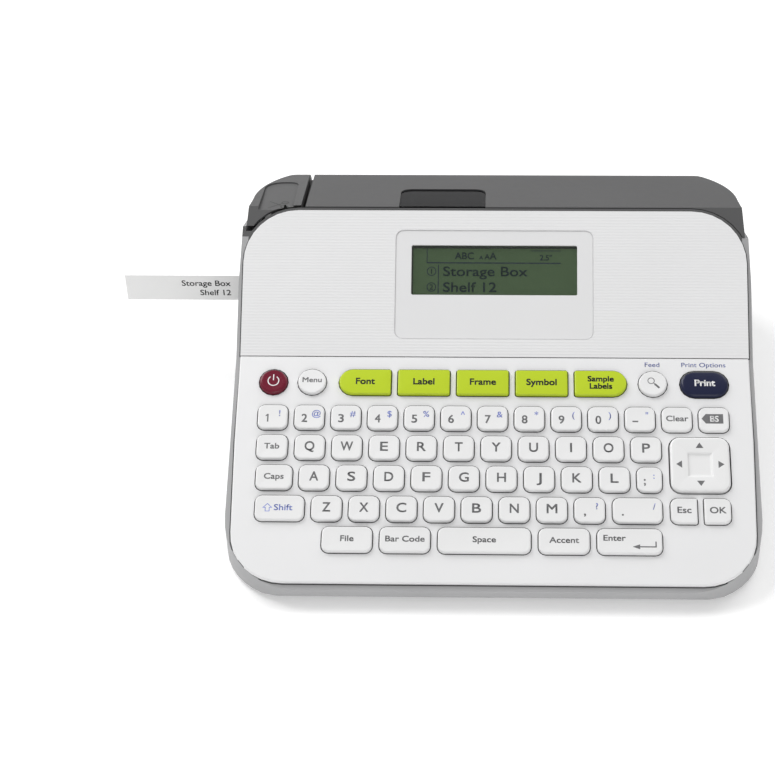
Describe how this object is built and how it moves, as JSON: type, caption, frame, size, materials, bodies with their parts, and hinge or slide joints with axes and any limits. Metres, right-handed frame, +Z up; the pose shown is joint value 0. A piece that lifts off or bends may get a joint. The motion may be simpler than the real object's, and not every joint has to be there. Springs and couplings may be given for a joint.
{
  "type": "label maker",
  "caption": "Desktop label maker: wedge case, sloping typing keyboard, display panel, hinged tape cover, cutter lever, tape feed and battery box.",
  "frame": {"origin": "on the table under the middle of the case, at the centre of its footprint", "axes": "+Z up, +X to the user's right, +Y away from the user"},
  "size_m": [0.236, 0.178, 0.0719],
  "materials": {
    "white_panel": "satin, faintly ribbed display panel",
    "key_white": "satin key cap",
    "case_grey": "fine matt grain",
    "cover_grey": "satin",
    "lever_grey": "satin",
    "dark_plastic": "matt",
    "key_lime": "glossy",
    "key_maroon": "glossy",
    "key_navy": "glossy",
    "clear_window": "clear",
    "smoked_window": "smoked",
    "lcd_green": "reflective liquid crystal",
    "circuit_board": "solder mask",
    "key_mat": "silicone",
    "rubber": "matt",
    "steel": "brushed",
    "brass": "machined",
    "gear_ivory": "acetal",
    "cassette_plastic": "fine grain",
    "battery_wrap": "printed sleeve",
    "label_white": "laminated film"
  },
  "bodies": {
    "case": {"base_case": "case_grey", "keyboard_deck": "white_panel", "display_cover": "white_panel", "display_bezel": "white_panel", "display_window": "clear_window", "lcd_panel": "lcd_green", "bay_tray": "dark_plastic", "print_head": "steel", "feed_motor": "steel", "fixed_blade": "steel", "main_board": "circuit_board", "keyboard_board": "circuit_board", "keypad_mat": "key_mat", "battery_box": "dark_plastic", "battery_contacts": "steel", "dc_jack": "dark_plastic", "rubber_feet": "rubber", "case_screws": "steel", "cutter_spring": "steel", "tape_cassette": "cassette_plastic", "cassette_cover": "cassette_plastic", "batteries": "battery_wrap"},
    "tape_cover": {"tape_cover": "cover_grey", "tape_cover_window": "smoked_window"},
    "cutter_lever": {"cutter_lever": "lever_grey"},
    "cutter_blade": {"cutter_blade": "steel"},
    "tape_spool": {"tape_spool": "label_white"},
    "label_tape": {"label_tape": "label_white"},
    "platen_roller": {"platen_roller": "rubber"},
    "idler_gear": {"idler_gear": "gear_ivory"},
    "motor_pinion": {"motor_pinion": "brass"},
    "ribbon_spindle": {"ribbon_spindle": "gear_ivory"},
    "battery_cover": {"battery_cover": "case_grey"},
    "key_power": {"key_power": "key_maroon"},
    "key_menu": {"key_menu": "key_white"},
    "key_font": {"key_font": "key_lime"},
    "key_label": {"key_label": "key_lime"},
    "key_frame": {"key_frame": "key_lime"},
    "key_symbol": {"key_symbol": "key_lime"},
    "key_sample": {"key_sample": "key_lime"},
    "key_preview": {"key_preview": "key_white"},
    "key_print": {"key_print": "key_navy"},
    "keys_number_row": {"keys_number_row": "key_white"},
    "key_clear": {"key_clear": "key_white"},
    "key_backspace": {"key_backspace": "key_white"},
    "key_tab": {"key_tab": "key_white"},
    "keys_qwerty_row": {"keys_qwerty_row": "key_white"},
    "key_caps": {"key_caps": "key_white"},
    "keys_asdf_row": {"keys_asdf_row": "key_white"},
    "key_shift": {"key_shift": "key_white"},
    "keys_zxcv_row": {"keys_zxcv_row": "key_white"},
    "key_file": {"key_file": "key_white"},
    "key_barcode": {"key_barcode": "key_white"},
    "key_space": {"key_space": "key_white"},
    "key_accent": {"key_accent": "key_white"},
    "key_enter": {"key_enter": "key_white"},
    "key_esc": {"key_esc": "key_white"},
    "key_ok": {"key_ok": "key_white"},
    "dpad_cross": {"dpad_cross": "gear_ivory"},
    "dpad": {"dpad": "key_white"}
  },
  "joints": [
    {"name": "tape_cover_hinge", "type": "hinge", "parent": "case", "child": "tape_cover", "pos_m": [0, 0.0866, 0.04693], "axis": [-1, 0, 0], "range_deg": [0, 95]},
    {"name": "cutter_lever_hinge", "type": "hinge", "parent": "case", "child": "cutter_lever", "pos_m": [0, 0.079, 0.0536], "axis": [1, 0, 0], "range_deg": [0, 6], "stiffness_Nm_per_rad": 0.5, "springref_deg": -11.46, "deforming": ["cutter_spring"]},
    {"name": "cutter_blade_hinge", "type": "hinge", "parent": "case", "child": "cutter_blade", "pos_m": [0, 0.056, 0.014], "axis": [1, 0, 0], "range_deg": [0, 25]},
    {"name": "platen_turn", "type": "hinge", "parent": "case", "child": "platen_roller", "pos_m": [-0.05, 0.05165, 0], "axis": [0, 0, -1], "range_deg": [0, 241]},
    {"name": "idler_turn", "type": "hinge", "parent": "case", "child": "idler_gear", "pos_m": [-0.05, 0.03929, 0], "axis": [0, 0, -1], "range_deg": [-230, 0]},
    {"name": "motor_turn", "type": "hinge", "parent": "case", "child": "motor_pinion", "pos_m": [-0.05, 0.02993, 0], "axis": [0, 0, -1], "range_deg": [0, 482]},
    {"name": "ribbon_turn", "type": "hinge", "parent": "case", "child": "ribbon_spindle", "pos_m": [-0.04076, 0.0594, 0], "axis": [0, 0, -1], "range_deg": [-241, 0]},
    {"name": "spool_turn", "type": "hinge", "parent": "case", "child": "tape_spool", "pos_m": [-0.014, 0.0652, 0], "axis": [0, 0, -1], "range_deg": [0, 85]},
    {"name": "tape_feed", "type": "slide", "parent": "case", "child": "label_tape", "axis": [-1, 0, 0], "range_m": [0, 0.0205]},
    {"name": "battery_cover_slide", "type": "slide", "parent": "case", "child": "battery_cover", "axis": [0, 1, 0], "range_m": [0, 0.03]},
    {"name": "key_power_press", "type": "slide", "parent": "case", "child": "key_power", "axis": [0, 0.342, -0.9397], "range_m": [0, 0.0012], "stiffness_N_per_m": 300, "springref_m": -0.001},
    {"name": "key_menu_press", "type": "slide", "parent": "case", "child": "key_menu", "axis": [0, 0.342, -0.9397], "range_m": [0, 0.0012], "stiffness_N_per_m": 300, "springref_m": -0.001},
    {"name": "key_font_press", "type": "slide", "parent": "case", "child": "key_font", "axis": [0, 0.342, -0.9397], "range_m": [0, 0.0012], "stiffness_N_per_m": 300, "springref_m": -0.001},
    {"name": "key_label_press", "type": "slide", "parent": "case", "child": "key_label", "axis": [0, 0.342, -0.9397], "range_m": [0, 0.0012], "stiffness_N_per_m": 300, "springref_m": -0.001},
    {"name": "key_frame_press", "type": "slide", "parent": "case", "child": "key_frame", "axis": [0, 0.342, -0.9397], "range_m": [0, 0.0012], "stiffness_N_per_m": 300, "springref_m": -0.001},
    {"name": "key_symbol_press", "type": "slide", "parent": "case", "child": "key_symbol", "axis": [0, 0.342, -0.9397], "range_m": [0, 0.0012], "stiffness_N_per_m": 300, "springref_m": -0.001},
    {"name": "key_sample_press", "type": "slide", "parent": "case", "child": "key_sample", "axis": [0, 0.342, -0.9397], "range_m": [0, 0.0012], "stiffness_N_per_m": 300, "springref_m": -0.001},
    {"name": "key_preview_press", "type": "slide", "parent": "case", "child": "key_preview", "axis": [0, 0.342, -0.9397], "range_m": [0, 0.0012], "stiffness_N_per_m": 300, "springref_m": -0.001},
    {"name": "key_print_press", "type": "slide", "parent": "case", "child": "key_print", "axis": [0, 0.342, -0.9397], "range_m": [0, 0.0012], "stiffness_N_per_m": 300, "springref_m": -0.001},
    {"name": "keys_number_row_press", "type": "slide", "parent": "case", "child": "keys_number_row", "axis": [0, 0.342, -0.9397], "range_m": [0, 0.0012], "stiffness_N_per_m": 900, "springref_m": -0.001},
    {"name": "key_clear_press", "type": "slide", "parent": "case", "child": "key_clear", "axis": [0, 0.342, -0.9397], "range_m": [0, 0.0012], "stiffness_N_per_m": 300, "springref_m": -0.001},
    {"name": "key_backspace_press", "type": "slide", "parent": "case", "child": "key_backspace", "axis": [0, 0.342, -0.9397], "range_m": [0, 0.0012], "stiffness_N_per_m": 300, "springref_m": -0.001},
    {"name": "key_tab_press", "type": "slide", "parent": "case", "child": "key_tab", "axis": [0, 0.342, -0.9397], "range_m": [0, 0.0012], "stiffness_N_per_m": 300, "springref_m": -0.001},
    {"name": "keys_qwerty_row_press", "type": "slide", "parent": "case", "child": "keys_qwerty_row", "axis": [0, 0.342, -0.9397], "range_m": [0, 0.0012], "stiffness_N_per_m": 900, "springref_m": -0.001},
    {"name": "key_caps_press", "type": "slide", "parent": "case", "child": "key_caps", "axis": [0, 0.342, -0.9397], "range_m": [0, 0.0012], "stiffness_N_per_m": 300, "springref_m": -0.001},
    {"name": "keys_asdf_row_press", "type": "slide", "parent": "case", "child": "keys_asdf_row", "axis": [0, 0.342, -0.9397], "range_m": [0, 0.0012], "stiffness_N_per_m": 900, "springref_m": -0.001},
    {"name": "key_shift_press", "type": "slide", "parent": "case", "child": "key_shift", "axis": [0, 0.342, -0.9397], "range_m": [0, 0.0012], "stiffness_N_per_m": 300, "springref_m": -0.001},
    {"name": "keys_zxcv_row_press", "type": "slide", "parent": "case", "child": "keys_zxcv_row", "axis": [0, 0.342, -0.9397], "range_m": [0, 0.0012], "stiffness_N_per_m": 900, "springref_m": -0.001},
    {"name": "key_file_press", "type": "slide", "parent": "case", "child": "key_file", "axis": [0, 0.342, -0.9397], "range_m": [0, 0.0012], "stiffness_N_per_m": 300, "springref_m": -0.001},
    {"name": "key_barcode_press", "type": "slide", "parent": "case", "child": "key_barcode", "axis": [0, 0.342, -0.9397], "range_m": [0, 0.0012], "stiffness_N_per_m": 300, "springref_m": -0.001},
    {"name": "key_space_press", "type": "slide", "parent": "case", "child": "key_space", "axis": [0, 0.342, -0.9397], "range_m": [0, 0.0012], "stiffness_N_per_m": 300, "springref_m": -0.001},
    {"name": "key_accent_press", "type": "slide", "parent": "case", "child": "key_accent", "axis": [0, 0.342, -0.9397], "range_m": [0, 0.0012], "stiffness_N_per_m": 300, "springref_m": -0.001},
    {"name": "key_enter_press", "type": "slide", "parent": "case", "child": "key_enter", "axis": [0, 0.342, -0.9397], "range_m": [0, 0.0012], "stiffness_N_per_m": 300, "springref_m": -0.001},
    {"name": "key_esc_press", "type": "slide", "parent": "case", "child": "key_esc", "axis": [0, 0.342, -0.9397], "range_m": [0, 0.0012], "stiffness_N_per_m": 300, "springref_m": -0.001},
    {"name": "key_ok_press", "type": "slide", "parent": "case", "child": "key_ok", "axis": [0, 0.342, -0.9397], "range_m": [0, 0.0012], "stiffness_N_per_m": 300, "springref_m": -0.001},
    {"name": "dpad_rock_x", "type": "hinge", "parent": "case", "child": "dpad_cross", "pos_m": [0.073, -0.0427, 0.02003], "axis": [1, 0, 0], "range_deg": [-2, 2], "stiffness_Nm_per_rad": 0.05},
    {"name": "dpad_rock_y", "type": "hinge", "parent": "dpad_cross", "child": "dpad", "pos_m": [0.073, -0.0427, 0.02003], "axis": [0, 0.9397, 0.342], "range_deg": [-2, 2], "stiffness_Nm_per_rad": 0.05}
  ],
  "couplings": [
    {"joint": "cutter_blade_hinge", "follows": "cutter_lever_hinge", "ratio": 4.1},
    {"joint": "platen_turn", "follows": "tape_feed", "rad_per_m": 204.08},
    {"joint": "idler_turn", "follows": "tape_feed", "rad_per_m": -194.36},
    {"joint": "motor_turn", "follows": "tape_feed", "rad_per_m": 408.16},
    {"joint": "ribbon_turn", "follows": "tape_feed", "rad_per_m": -204.08},
    {"joint": "spool_turn", "follows": "tape_feed", "rad_per_m": 71.429}
  ]
}
